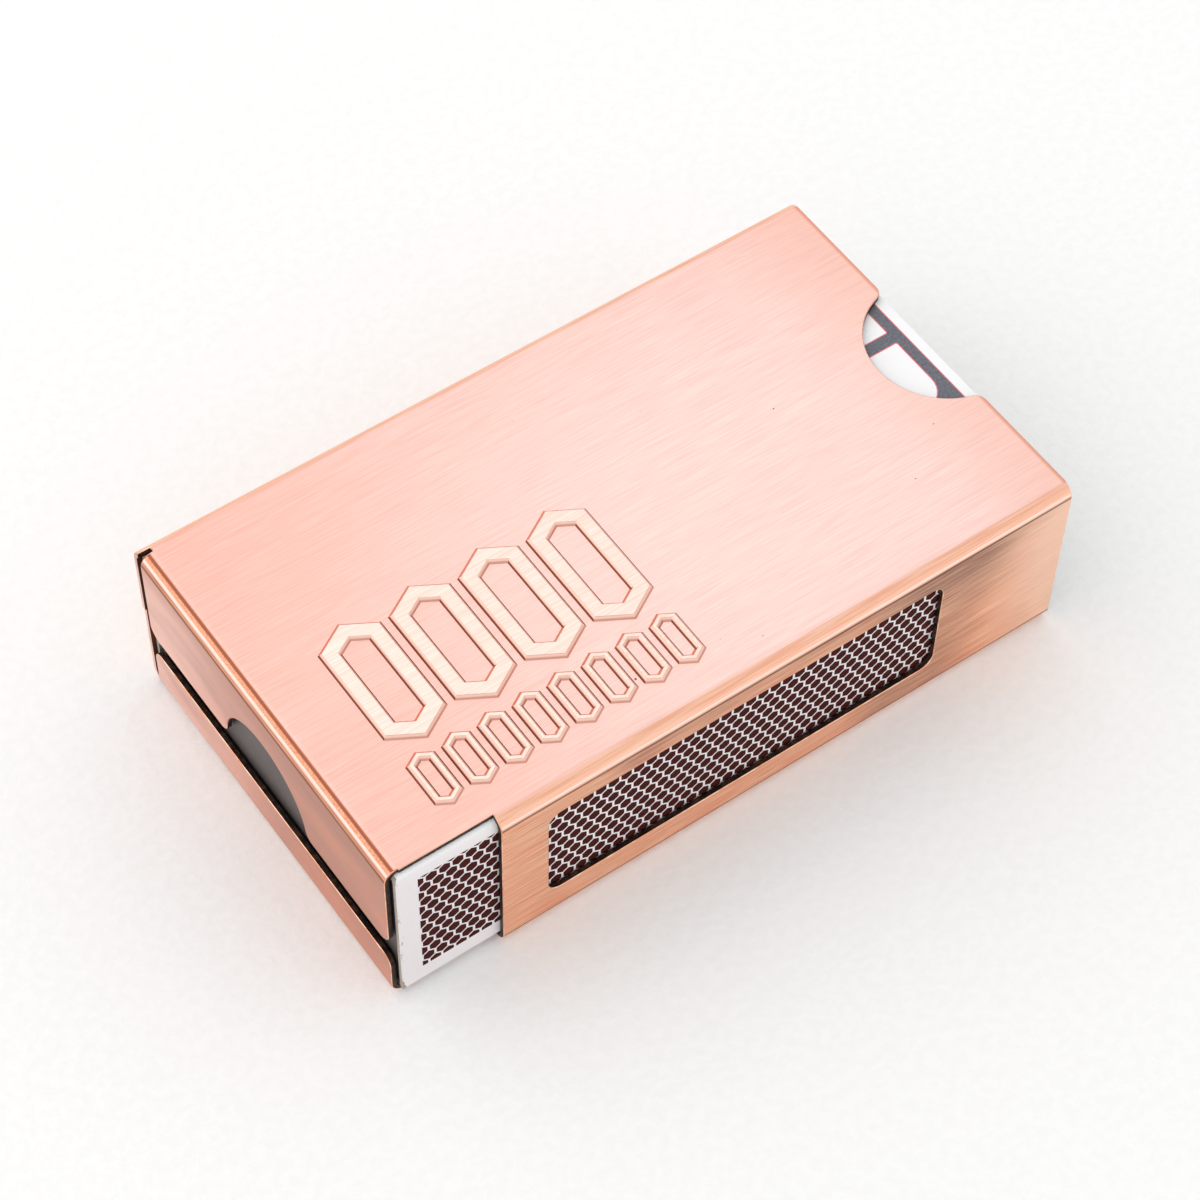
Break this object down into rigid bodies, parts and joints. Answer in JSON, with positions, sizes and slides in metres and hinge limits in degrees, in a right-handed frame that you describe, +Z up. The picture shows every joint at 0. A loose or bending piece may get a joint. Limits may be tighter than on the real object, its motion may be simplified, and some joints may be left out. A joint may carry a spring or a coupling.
{
  "type": "matchbox holder",
  "caption": "Folded copper sleeve that carries a sliding matchbox, with a window over its striking side, a finger notch in the end tab and a thumb notch at the open end.",
  "frame": {"origin": "middle of the footprint, on the surface that the holder stands on", "axes": "+X along the length to the open end, -Y towards the side with the window, +Z up"},
  "size_m": [0.062, 0.036, 0.0173],
  "materials": {
    "copper": "brushed copper",
    "sleeve_card": "smooth white",
    "striking_coat": "gritty dark red",
    "drawer_card": "dark card",
    "match_wood": "plain pale wood",
    "match_head": "matt, grainy"
  },
  "bodies": {
    "holder": {"metal_holder": "copper"},
    "matchbox": {"box_sleeve": "sleeve_card", "striker_front": "striking_coat", "striker_back": "striking_coat"},
    "tray": {"box_tray": "drawer_card", "match_stick_01": "match_wood", "match_stick_02": "match_wood", "match_stick_03": "match_wood", "match_stick_04": "match_wood", "match_stick_05": "match_wood", "match_stick_06": "match_wood", "match_stick_07": "match_wood", "match_stick_08": "match_wood", "match_stick_09": "match_wood", "match_stick_10": "match_wood", "match_stick_11": "match_wood", "match_stick_12": "match_wood", "match_stick_13": "match_wood", "match_stick_14": "match_wood", "match_stick_15": "match_wood", "match_stick_16": "match_wood", "match_stick_17": "match_wood", "match_stick_18": "match_wood", "match_stick_19": "match_wood", "match_stick_20": "match_wood", "match_stick_21": "match_wood", "match_stick_22": "match_wood", "match_stick_23": "match_wood", "match_stick_24": "match_wood", "match_head_01": "match_head", "match_head_02": "match_head", "match_head_03": "match_head", "match_head_04": "match_head", "match_head_05": "match_head", "match_head_06": "match_head", "match_head_07": "match_head", "match_head_08": "match_head", "match_head_09": "match_head", "match_head_10": "match_head", "match_head_11": "match_head", "match_head_12": "match_head", "match_head_13": "match_head", "match_head_14": "match_head", "match_head_15": "match_head", "match_head_16": "match_head", "match_head_17": "match_head", "match_head_18": "match_head", "match_head_19": "match_head", "match_head_20": "match_head", "match_head_21": "match_head", "match_head_22": "match_head", "match_head_23": "match_head", "match_head_24": "match_head"}
  },
  "joints": [
    {"name": "matchbox_slide", "type": "slide", "parent": "holder", "child": "matchbox", "axis": [1, 0, 0], "range_m": [0, 0.059]},
    {"name": "tray_slide", "type": "slide", "parent": "matchbox", "child": "tray", "axis": [1, 0, 0], "range_m": [0, 0.056]}
  ]
}
